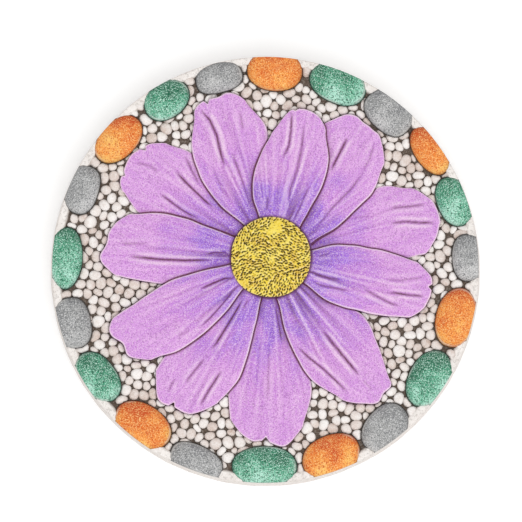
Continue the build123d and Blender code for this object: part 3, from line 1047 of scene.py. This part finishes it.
@dataclass
class Eye:
    """Domed eye of the flower, covered in small florets with dark gaps."""

    flower: Flower
    pitch: float = 1.56
    jitter: float = 0.2
    depth: float = 0.5
    slit_length: float = 0.8
    slit_width: float = 0.4
    heading: float = 0.8
    drift: float = 1.4
    scatter: float = 0.4
    strengths: tuple = (0.3, 1.2)
    unevenness: float = 0.04
    rings: int = 84
    segments: int = 460
    skirt_drops: tuple = (0.6, 1.6, 4.0)

    def florets(self) -> tuple[np.ndarray, np.ndarray, np.ndarray]:
        """Seats of the florets on a sunflower spiral with some jitter.

        Returns:
            Rows of x and y, headings that drift over the eye, and strengths.
        """
        rng = np.random.default_rng(self.flower.seed)
        count = int((self.flower.eye_radius / self.pitch) ** 2 * 3.1)
        number = np.arange(count)
        far = self.flower.eye_radius * np.sqrt((number + 0.5) / count)
        turn = GOLDEN_ANGLE * number
        seats = np.stack([far * np.cos(turn), far * np.sin(turn)], -1)
        seats = seats + rng.normal(0.0, self.jitter * self.pitch, seats.shape)
        drift = self.flower.grit.at(seats[:, 0], seats[:, 1] + 50, 16.0)
        heading = self.heading + self.drift * drift + rng.normal(0.0, self.scatter, count)
        return seats, heading, rng.uniform(*self.strengths, count)

    def slits(self, x: np.ndarray, y: np.ndarray, patch: np.ndarray) -> tuple:
        """Short dark slits of the florets, each a bell in its own two directions.

        Args:
            x: First coordinates from the eye's middle.
            y: Second coordinates.
            patch: Where the slits are strong, 0 to 1. In the rest they are faint.

        Returns:
            How far each point is in its nearest slit, and in the pale lip beside it, a painted highlight.
        """
        seats, heading, strength = self.florets()
        flat = np.stack([x.ravel(), y.ravel()], -1)
        nearest = np.empty(len(flat), int)
        for part in np.array_split(np.arange(len(flat)), 16):
            gaps = np.hypot(*(flat[part, None, :] - seats[None, :, :]).transpose(2, 0, 1))
            nearest[part] = np.argmin(gaps, axis=1)
        away = (flat - seats[nearest]).reshape(*x.shape, 2)
        heading, strength = heading[nearest].reshape(x.shape), strength[nearest].reshape(x.shape)
        c, s = np.cos(heading), np.sin(heading)
        length = soft_edge(away[..., 0] * c + away[..., 1] * s, self.slit_length)
        across = away[..., 1] * c - away[..., 0] * s
        shown = strength * np.clip(4.5 * patch - 0.2, 0.25, 1.0)
        # Painted highlight: a pale lip on one side of each slit.
        lip = soft_edge(across - 2 * self.slit_width, 0.8 * self.slit_width)
        return length * soft_edge(across, self.slit_width) * shown, length * lip * shown

    def build(self) -> bpy.types.Object:
        """Makes the eye, whose section is a quarter of an ellipse, with the slits sunk into it.

        Returns:
            The eye's object.
        """
        flower, turn = self.flower, around(self.segments)
        share = np.sin(np.linspace(0.0, math.pi / 2, self.rings + 1)[1:])[:, None] + 0 * turn
        bulge = flower.grit.at(5 * np.cos(turn), 5 * np.sin(turn), 3.2)
        radius = share * flower.eye_radius * (1 + self.unevenness * bulge)
        x, y = radius * np.cos(turn), radius * np.sin(turn)
        patch = 0.5 + 0.5 * flower.grit.at(x, y, 5.0)
        pit, lip = self.slits(x, y, patch)
        height = flower.eye_rise * np.sqrt(np.clip(1 - share**2, 0.0, 1.0))
        height = height - self.depth * pit * np.clip((1 - share) / 0.02, 0.0, 1.0)
        base = flower.slab.bed + flower.petal_rise + 2 * flower.layer_step
        points = np.stack([x + flower.offset_x, y + flower.offset_y, base + height], -1)
        drops = len(self.skirt_drops)
        skirt = np.repeat(points[-1:], drops, 0)
        skirt[..., 2] -= np.array(self.skirt_drops)[:, None]
        wash = np.clip(3.6 * pit - 0.35, 0.0, 1.0)
        # Dark wash and painted shade in a thin ring at the foot of the eye.
        wash = np.maximum(wash, 0.5 * soft_edge(1 - share, 0.004))
        # Pale rim near the foot: worn paint with a painted highlight; pale lips by the slits: painted
        # highlights.
        worn = np.maximum(0.35 * soft_edge(1 - share, 0.03), 0.8 * lip) * (1 - wash)
        # The skirt under the edge is dark: wash and painted shade.
        layers = ((0.65 - 0.45 * patch, 0.3), (wash, 0.85), (worn, 0.0))
        paint = [
            np.pad(layer, ((0, drops), (0, 0)), constant_values=below) for layer, below in layers
        ]
        top = np.array([flower.offset_x, flower.offset_y, base + flower.eye_rise])
        rings = np.concatenate([points, skirt])[None]
        surface = Surface.of_domes(top, rings, paint, (0.5, 0.2, 0.0))
        return surface.to_object("flower_eye", EYE_PAINT.material())


# Rim stones

class Colour(Enum):
    """Paint of a rim stone."""

    ORANGE = "orange"
    GREEN = "green"
    GREY = "grey"


@dataclass(frozen=True)
class RimStone:
    """Stone of the rim: azimuth, half-length along the rim, half-width, inset from the wall's
    top, turn of its long axis and colour."""

    azimuth: float
    half_length: float
    half_width: float
    inset: float
    turn: float
    colour: Colour


RIM_STONES = (
    RimStone(87.3, 16.6, 12.0, 8.4, 0, Colour.ORANGE),
    RimStone(68.7, 17.4, 11.8, 8.0, 2, Colour.GREEN),
    RimStone(51.9, 15.9, 11.0, 8.3, 4, Colour.GREY),
    RimStone(35.9, 16.2, 8.9, 6.3, 3, Colour.ORANGE),
    RimStone(19.8, 15.1, 10.2, 7.5, -2, Colour.GREEN),
    RimStone(3.3, 14.2, 9.2, 6.4, 0, Colour.GREY),
    RimStone(-14.3, 18.1, 12.0, 9.9, -1, Colour.ORANGE),
    RimStone(-33.8, 17.7, 12.3, 9.8, -6, Colour.GREEN),
    RimStone(-53.0, 15.9, 11.6, 8.7, -11, Colour.GREY),
    RimStone(-70.6, 17.9, 12.2, 9.3, -3, Colour.ORANGE),
    RimStone(-90.2, 19.2, 12.1, 9.7, 0, Colour.GREEN),
    RimStone(-109.8, 16.5, 9.6, 5.6, 5, Colour.GREY),
    RimStone(-128.1, 18.1, 12.2, 9.1, -6, Colour.ORANGE),
    RimStone(-147.3, 16.5, 10.9, 8.7, -6, Colour.GREEN),
    RimStone(-164.4, 15.5, 10.7, 8.1, 3.5, Colour.GREY),
    RimStone(176.7, 18.7, 9.8, 8.1, 0, Colour.GREEN),
    RimStone(156.4, 14.7, 9.8, 8.0, -7, Colour.GREY),
    RimStone(138.4, 16.9, 11.0, 9.9, 2, Colour.ORANGE),
    RimStone(120.2, 14.7, 10.8, 9.9, -5, Colour.GREEN),
    RimStone(103.6, 14.3, 9.0, 9.3, -1, Colour.GREY),
)


@dataclass
class StoneRing:
    """Ring of domed stones in the rim, flush with the wall where they reach it."""

    slab: Slab
    seat_depth: float = 1.0
    crown: float = 5.1
    skirt: float = 1.08
    skirt_drops: tuple = (0.8, 1.8, 3.5)
    flush_gap: float = 0.06
    skirt_gap: float = 1.0
    power: float = 2.15
    grey_power: float = 2.45
    outline_unevenness: float = 0.025
    unevenness: float = 0.22
    fine_unevenness: float = 0.05
    shading: float = 0.9
    mottling: float = 0.3
    edge_wash_and_shade: float = 0.9
    cut_wash: float = 0.25
    rings: int = 44
    segments: int = 128
    seed: int = 23

    def __post_init__(self) -> None:
        """Sets up the unevenness."""
        self.grit = Grit(self.seed)

    def outline(self, stone: RimStone, turn: np.ndarray) -> tuple[np.ndarray, np.ndarray]:
        """Oval of a stone round its own centre: a superellipse, squarer on the grey ones.

        Args:
            stone: The stone.
            turn: Angles round it.

        Returns:
            Offsets across and along the rim.
        """
        power = self.grey_power if stone.colour is Colour.GREY else self.power
        c, s = np.cos(turn), np.sin(turn)
        reach = (np.abs(c) ** power + np.abs(s) ** power) ** (-1 / power)
        bulge = self.grit.at(2 * c + stone.azimuth, 2 * s, 1.3)
        reach = reach * (1 + self.outline_unevenness * bulge)
        return stone.half_width * reach * c, stone.half_length * reach * s

    def to_slab(self, stone: RimStone, across: np.ndarray, lengthwise: np.ndarray) -> tuple:
        """Turns offsets from a stone's centre into places on the slab.

        Args:
            stone: The stone.
            across: Offsets away from the slab's middle.
            lengthwise: Offsets along the rim.

        Returns:
            x and y on the slab.
        """
        x, y = turned(across, lengthwise, -stone.turn)
        seat = self.slab.wall_radius(self.slab.rim_height) - stone.inset
        return turned(x + seat, y, stone.azimuth)

    def covers(self, stone: RimStone, x: np.ndarray, y: np.ndarray, margin: float) -> np.ndarray:
        """Whether a stone's oval, grown by a margin, lies over places of the bed.

        Args:
            stone: The stone.
            x: First coordinates of the places.
            y: Second coordinates of the places.
            margin: How much larger the stone is taken to be.

        Returns:
            True for each covered place.
        """
        out, side = turned(x, y, -stone.azimuth)
        seat = self.slab.wall_radius(self.slab.rim_height) - stone.inset
        across, lengthwise = turned(out - seat, side, stone.turn)
        width, length = stone.half_width + margin, stone.half_length + margin
        return np.hypot(across / width, lengthwise / length) < self.skirt

    def plan(self, stone: RimStone) -> np.ndarray:
        """Outline of a stone on the slab, anticlockwise."""
        return np.stack(self.to_slab(stone, *self.outline(stone, around(48))), -1)

    def build_stone(self, stone: RimStone) -> tuple[np.ndarray, np.ndarray, np.ndarray]:
        """Works out one stone, from its middle to the foot of its skirt.

        Its height over its seat is its crown times (1 - r to the 2.3) to the power 0.65, r being
        the share of the way to its oval. What would stand out of the wall is drawn back to it,
        and a skirt goes down into the slab. Its paint is darker towards its upper side, as painted
        shade, and dark at its edge with wash and painted shade.

        Args:
            stone: The stone.

        Returns:
            Its middle point, its rings of points, and tone, wash and worn of the rings.
        """
        share = np.sin(np.linspace(0.0, math.pi / 2, self.rings + 1)[1:])[:, None]
        drops = np.array(self.skirt_drops)[:, None]
        seat = self.slab.rim_height - self.seat_depth
        across, lengthwise = self.outline(stone, around(self.segments))
        x, y = self.to_slab(stone, share * across, share * lengthwise)
        swell = (1 - np.minimum(share, 1.0) ** 2.3) ** 0.65
        height = seat + self.crown * swell + self.unevenness * self.grit.at(x, y, 6.0) * swell
        height = height + self.fine_unevenness * self.grit.at(x, y, 1.3) * swell
        x = np.concatenate([x, np.repeat(x[-1:], len(drops), 0)])
        y = np.concatenate([y, np.repeat(y[-1:], len(drops), 0)])
        height = np.concatenate([height, height[-1:] - drops])
        radius = np.hypot(x, y)
        sunk = np.arange(len(height))[:, None] >= self.rings
        wall = self.slab.wall_radius(height) - np.where(sunk, self.skirt_gap, self.flush_gap)
        cut = radius > wall
        pull = np.minimum(radius, wall) / radius
        size = (stone.half_width + stone.half_length) / 2
        edge_gap = (1 - np.concatenate([share, np.ones((len(drops), 1))])) * size + 0 * x
        # Painted shade: each stone darker towards its upper side, away from the key light.
        light = 0.5 * (y - np.mean(y)) / size
        tone = 0.5 - self.shading * light + self.mottling * self.grit.at(x + 40, y, 8.0)
        # Painted shade: the orange stones are also darker and redder on their upper side.
        if stone.colour is Colour.ORANGE:
            tone = tone - 0.5 * np.clip(light * 2 - 0.35, 0.0, 1.0)
        # Dark wash and painted shade in the groove round each stone's edge and on its sunk skirt.
        wash = self.edge_wash_and_shade * soft_edge(edge_gap, 0.55) + 0.25 * soft_edge(edge_gap, 1.8)
        wash = np.where(cut, self.cut_wash, np.where(sunk, self.edge_wash_and_shade, wash))
        lip = np.clip(self.grit.at(x, y + 60, 8.0) * 1.6, 0.0, 1.0)
        worn = 0.6 * lip * soft_edge(edge_gap - 0.9, 0.45)
        middle = np.array([*self.to_slab(stone, 0.0, 0.0), seat + self.crown])
        return middle, np.stack([x * pull, y * pull, height], -1), np.stack([tone, wash, worn])

    def build_colour(self, colour: Colour, material: bpy.types.Material) -> bpy.types.Object:
        """Makes all stones of one colour as one mesh.

        Args:
            colour: Which stones.
            material: Their finish.

        Returns:
            The stones' object.
        """
        stones = [self.build_stone(stone) for stone in RIM_STONES if stone.colour is colour]
        middles, rings, paint = (np.stack(parts) for parts in zip(*stones))
        surface = Surface.of_domes(middles, rings, paint.swapaxes(0, 1), (0.5, 0.0, 0.0))
        return surface.to_object(f"rim_stones_{colour.value}", material)

    def build(self) -> list:
        """Makes the stones of each colour.

        Returns:
            Their objects.
        """
        paints = {Colour.ORANGE: ORANGE_PAINT, Colour.GREEN: GREEN_PAINT, Colour.GREY: GREY_PAINT}
        return [self.build_colour(colour, paint.material()) for colour, paint in paints.items()]


# Pebble bed

@dataclass
class PebbleBed:
    """Pebbles packed into the bed between the flower and the rim stones.

    Their seats follow the solid's own rule, and each grows here into a rounded polygon between
    its neighbours. Those at the edge of a petal or a stone go on under it.
    """

    slab: Slab
    flower: Flower
    stones: StoneRing
    count: int = 1500
    spread_seed: int = 4
    scatter: float = 3.0
    settling: int = 8
    push: float = 0.4
    joint: float = 0.1
    longest: float = 5.6
    under: float = 1.6
    rise: float = 2.2
    land_margin: float = 2.6
    weights: tuple = (0.7, 1.3)
    slimness: tuple = (0.4, 0.72)
    smoothing: float = 0.2
    least_reach: float = 0.6
    heights: tuple = (0.88, 1.06)
    lean: float = 0.12
    tints: tuple = (0.3, 1.0)
    cell: float = 0.4
    segments: int = 16
    seed: int = 5

    def seats(self) -> np.ndarray:
        """Seats of the pebbles: a sunflower's spread, shifted at random and settled.

        In each round of settling, seats that are closer than the even pitch push each other
        apart. Those that lie well under a petal, a stone or the rim are dropped.

        Returns:
            Rows of x and y.
        """
        draw = random.Random(self.spread_seed)
        shifts = [draw.uniform(-self.scatter, self.scatter) for _ in range(2 * self.count)]
        number = np.arange(self.count)
        turn = GOLDEN_ANGLE * number
        rim = self.slab.wall_radius(self.slab.rim_height)
        radius = rim * np.sqrt((number + 0.5) / self.count)
        seats = np.stack([radius * np.cos(turn), radius * np.sin(turn)], -1)
        seats = seats + np.reshape(shifts, (self.count, 2))
        pitch = rim * math.sqrt(math.pi / self.count)
        for _ in range(self.settling):
            apart = seats[:, None] - seats[None]
            gap = np.hypot(apart[..., 0], apart[..., 1]) + np.diag(np.full(self.count, FAR))
            push = self.push * np.clip(pitch / gap - 1, 0.0, None)
            seats = seats + (apart * push[..., None]).sum(1)
        x, y = seats.T
        free = np.hypot(x, y) < rim - self.slab.land_width
        for petal in PETALS:
            free &= ~self.flower.covers(petal, x, y, -self.under)
        for stone in RIM_STONES:
            free &= ~self.stones.covers(stone, x, y, -self.under)
        return seats[free]

    def clearance(self) -> np.ndarray:
        """Map of how far each place of the bed is from the petals, the stones and the rim.

        The free cells start at a large distance, and passes of steps to the eight neighbours
        carry the distance in from the occupied ones.

        Returns:
            Square map of distances, zero where the bed is covered.
        """
        half = self.slab.diameter / 2
        steps = np.arange(-half, half, self.cell)
        x, y = np.meshgrid(steps, steps, indexing="ij")
        free = np.hypot(x, y) < self.slab.wall_radius(self.slab.rim_height) - self.land_margin
        for outline in self.flower.outlines:
            free &= ~inside(x, y, outline)
        for stone in RIM_STONES:
            free &= ~inside(x, y, self.stones.plan(stone))
        far = np.where(free, FAR, 0.0)
        for _ in range(int(2 * self.longest / self.cell)):
            for i, j in ((0, 1), (1, 0), (1, 1), (1, -1)):
                step = self.cell * math.hypot(i, j)
                for sign in (1, -1):
                    far = np.minimum(far, np.roll(far, (sign * i, sign * j), (0, 1)) + step)
        return far

    def read(self, far: np.ndarray, x: np.ndarray, y: np.ndarray) -> np.ndarray:
        """Reads the map of clearances at places of the slab.

        Args:
            far: The map.
            x: First coordinates of the places.
            y: Second coordinates of the places.

        Returns:
            Distances in the shape of x and y together.
        """
        half = self.slab.diameter / 2
        i = np.clip(((x + half) / self.cell).round().astype(int), 0, len(far) - 1)
        j = np.clip(((y + half) / self.cell).round().astype(int), 0, len(far) - 1)
        return far[i, j]

    def outlines(self, seats: np.ndarray, far: np.ndarray, rng: np.random.Generator) -> np.ndarray:
        """Grows each pebble until it meets its neighbours, the petals or the stones.

        In each direction its reach is the least of an oval, the way to the line between it and
        each neighbour, and the way to the next thing that covers the bed. The lines share the gaps
        by the pebbles' random weights and by how far their ovals reach towards each other. Then
        the reach is rounded by averaging round the pebble.

        Args:
            seats: Rows of x and y.
            far: Map of clearances.
            rng: Source of the pebbles' weights and ovals.

        Returns:
            Reach of each pebble in each direction.
        """
        count, turn = len(seats), around(self.segments)
        c, s = np.cos(turn), np.sin(turn)
        weight = rng.uniform(*self.weights, count)
        axis = rng.uniform(0.0, math.pi, (count, 1))
        slimness = rng.uniform(*self.slimness, (count, 1))
        reach = self.longest / np.hypot(np.cos(turn - axis), np.sin(turn - axis) / slimness)
        apart = seats[None] - seats[:, None]
        gap = np.hypot(apart[..., 0], apart[..., 1]) + np.diag(np.full(count, FAR))
        heading = np.arctan2(apart[..., 1], apart[..., 0]) - axis
        share = weight[:, None] / np.hypot(np.cos(heading), np.sin(heading) / slimness)
        limit = (gap - self.joint) * share / (share + share.T)
        for k in range(self.segments):
            facing = (apart[..., 0] * c[k] + apart[..., 1] * s[k]) / gap
            lines = np.where(facing > 0.1, limit / np.maximum(facing, 0.1), FAR)
            reach[:, k] = np.minimum(reach[:, k], lines.min(1))
        open_seat = self.read(far, seats[:, :1], seats[:, 1:]) > self.joint
        for step in np.linspace(1.0, 0.1, 34) * self.longest:
            x, y = seats[:, :1] + step * c, seats[:, 1:] + step * s
            blocked = open_seat & (self.read(far, x, y) < self.joint)
            reach = np.where(blocked, np.minimum(reach, step), reach)
        for _ in range(3):
            beside = np.roll(reach, 1, 1) + np.roll(reach, -1, 1)
            reach = (1 - 2 * self.smoothing) * reach + self.smoothing * beside
        return np.maximum(reach, self.least_reach)

    def build(self) -> bpy.types.Object:
        """Makes the pebbles as one mesh of small domes with flattish tops and steep edges.

        Points that a petal or a stone covers are sunk into the bed.

        Returns:
            The pebbles' object.
        """
        seats, far = self.seats(), self.clearance()
        rng = np.random.default_rng(self.seed)
        reach = self.outlines(seats, far, rng)
        turn = around(self.segments)
        # Per ring: share of the reach, share of the height, and a pale top from dry brushing and a painted
        # highlight.
        share, swell, worn = np.array([(0.62, 0.95, 0.4), (0.94, 0.62, 0.2), (1.0, -0.25, 0.0)]).T
        height = np.minimum(self.rise, 0.8 * reach.mean(1)) * rng.uniform(*self.heights, len(seats))
        away = share[:, None] * reach[:, None, :]
        across, up = away * np.cos(turn), away * np.sin(turn)
        x, y = seats[:, 0, None, None] + across, seats[:, 1, None, None] + up
        lean = rng.uniform(-self.lean, self.lean, (len(seats), 2, 1, 1))
        tip = lean[:, 0] * across + lean[:, 1] * up
        z = height[:, None, None] * swell[:, None] + tip * (swell > 0)[:, None]
        clear = self.read(far, x, y)
        z = np.where(clear <= 0, np.minimum(z, 0.2), z)
        middle = self.read(far, seats[:, 0], seats[:, 1])
        peak = self.slab.bed + np.where(middle <= 0, 0.3, height)
        tint = rng.uniform(*self.tints, len(seats))
        # Dark wash and painted shade at each pebble's edge, and a painted contact shadow next to the
        # petals and stones.
        wash = np.maximum(np.array([0.0, 0.12, 1.0])[:, None], 0.8 * soft_edge(clear, 0.6))
        # Paler tops: dry-brushed paint and a painted highlight.
        worn = worn[:, None] * (tint - 0.2)[:, None, None]
        surface = Surface.of_domes(
            np.column_stack([seats, peak]),
            np.stack([x, y, self.slab.bed + z], -1),
            (tint[:, None, None], wash, worn),
            (tint, 0.0, 0.4 * (tint - 0.2)),
        )
        LOG.info("pebbles: %d", len(seats))
        return surface.to_object("pebble_bed", PEBBLE_PAINT.material())


# Studio

@dataclass
class Studio:
    """Pale floor, soft light from the lower edge of the picture and a long lens almost overhead."""

    picture_pixels: float = 522.0
    pixel_size: float = 0.592
    aim_x: float = -2.56
    aim_y: float = 6.26
    tilt: float = 3.5
    distance: float = 3.5
    sensor: float = 36.0
    clip_end: float = 20.0
    sky: float = 0.86
    backdrop: float = 1.0
    key_power: float = 0.85
    key_spread: float = 50.0
    key_tilt: float = 30.0
    key_lean: float = 14.0
    floor_glow: float = 0.16
    floor_half: float = 4.0

    @staticmethod
    def seen(tree: bpy.types.NodeTree) -> bpy.types.NodeSocket:
        """Share that is 1 for rays by which the camera sees, also in a gloss or through glass.

        Args:
            tree: Node tree of the material or world.

        Returns:
            The share's socket.
        """
        ray = add_node(tree, "ShaderNodeLightPath")
        direct = add_node(
            tree,
            "ShaderNodeMath",
            {0: ray.outputs["Is Camera Ray"], 1: ray.outputs["Is Glossy Ray"]},
            operation="MAXIMUM",
        )
        through = {0: direct.outputs[0], 1: ray.outputs["Is Transmission Ray"]}
        return add_node(tree, "ShaderNodeMath", through, operation="MAXIMUM").outputs[0]

    def floor(self) -> None:
        """Lays the floor, which shows near white to the camera and keeps the shadow."""
        finish = bpy.data.materials.new("floor_pale")
        finish.use_nodes = True
        tree = finish.node_tree
        tree.nodes.clear()
        matt = add_node(tree, "ShaderNodeBsdfDiffuse", {"Color": linear("f4f4f4")})
        glow = add_node(tree, "ShaderNodeEmission", {"Strength": self.floor_glow})
        seen = self.seen(tree)
        both = add_node(tree, "ShaderNodeAddShader", {0: matt.outputs[0], 1: glow.outputs[0]})
        shown = add_node(tree, "ShaderNodeMixShader", {0: seen, 1: matt.outputs[0], 2: both.outputs[0]})
        add_node(tree, "ShaderNodeOutputMaterial", {"Surface": shown.outputs[0]})
        mesh = bpy.data.meshes.new("floor")
        side = self.floor_half
        corners = [(-side, -side, 0.0), (side, -side, 0.0), (side, side, 0.0), (-side, side, 0.0)]
        mesh.from_pydata(corners, [], [(0, 1, 2, 3)])
        mesh.materials.append(finish)
        piece = bpy.data.objects.new("floor", mesh)
        bpy.context.scene.collection.objects.link(piece)

    def lights(self) -> None:
        """Sets a white sky and one large soft lamp."""
        world = bpy.data.worlds.new("studio")
        bpy.context.scene.world = world
        world.use_nodes = True
        tree = world.node_tree
        tree.nodes.clear()
        white = (1.0, 1.0, 1.0, 1.0)
        sky = add_node(tree, "ShaderNodeBackground", {"Color": white, "Strength": self.sky})
        backdrop = add_node(tree, "ShaderNodeBackground", {"Color": white, "Strength": self.backdrop})
        inputs = {0: self.seen(tree), 1: sky.outputs[0], 2: backdrop.outputs[0]}
        shown = add_node(tree, "ShaderNodeMixShader", inputs)
        add_node(tree, "ShaderNodeOutputWorld", {"Surface": shown.outputs[0]})
        lamp = bpy.data.lights.new("key", "SUN")
        lamp.energy = self.key_power
        lamp.angle = math.radians(self.key_spread)
        key = bpy.data.objects.new("key", lamp)
        key.rotation_euler = (math.radians(self.key_tilt), math.radians(self.key_lean), 0.0)
        bpy.context.scene.collection.objects.link(key)

    def camera(self) -> None:
        """Places the camera: its frame is the picture's width at the height of the rim."""
        width = self.picture_pixels * self.pixel_size * MM
        lens = bpy.data.cameras.new("camera")
        lens.sensor_width = self.sensor
        lens.lens = self.sensor * self.distance / width
        lens.clip_end = self.clip_end
        eye = bpy.data.objects.new("camera", lens)
        tilt = math.radians(self.tilt)
        eye.location = (
            self.aim_x * MM,
            self.aim_y * MM - self.distance * math.sin(tilt),
            self.distance * math.cos(tilt),
        )
        eye.rotation_euler = (tilt, 0.0, 0.0)
        bpy.context.scene.collection.objects.link(eye)
        bpy.context.scene.camera = eye

    def build(self) -> None:
        """Sets up floor, lights, camera and the plain view transform."""
        self.floor()
        self.lights()
        self.camera()
        bpy.context.scene.view_settings.view_transform = "Standard"


def main() -> None:
    logging.basicConfig(level=logging.INFO, format="%(message)s")
    slab = Slab()
    flower = Flower(slab)
    stones = StoneRing(slab)
    bed = PebbleBed(slab, flower, stones)
    body = slab.build()
    pieces = flower.build() + stones.build() + [bed.build()]
    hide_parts(NODE)
    LOG.info("pieces: %d", 1 + len(pieces))
    Studio().build()


if __name__ == "__main__":
    main()
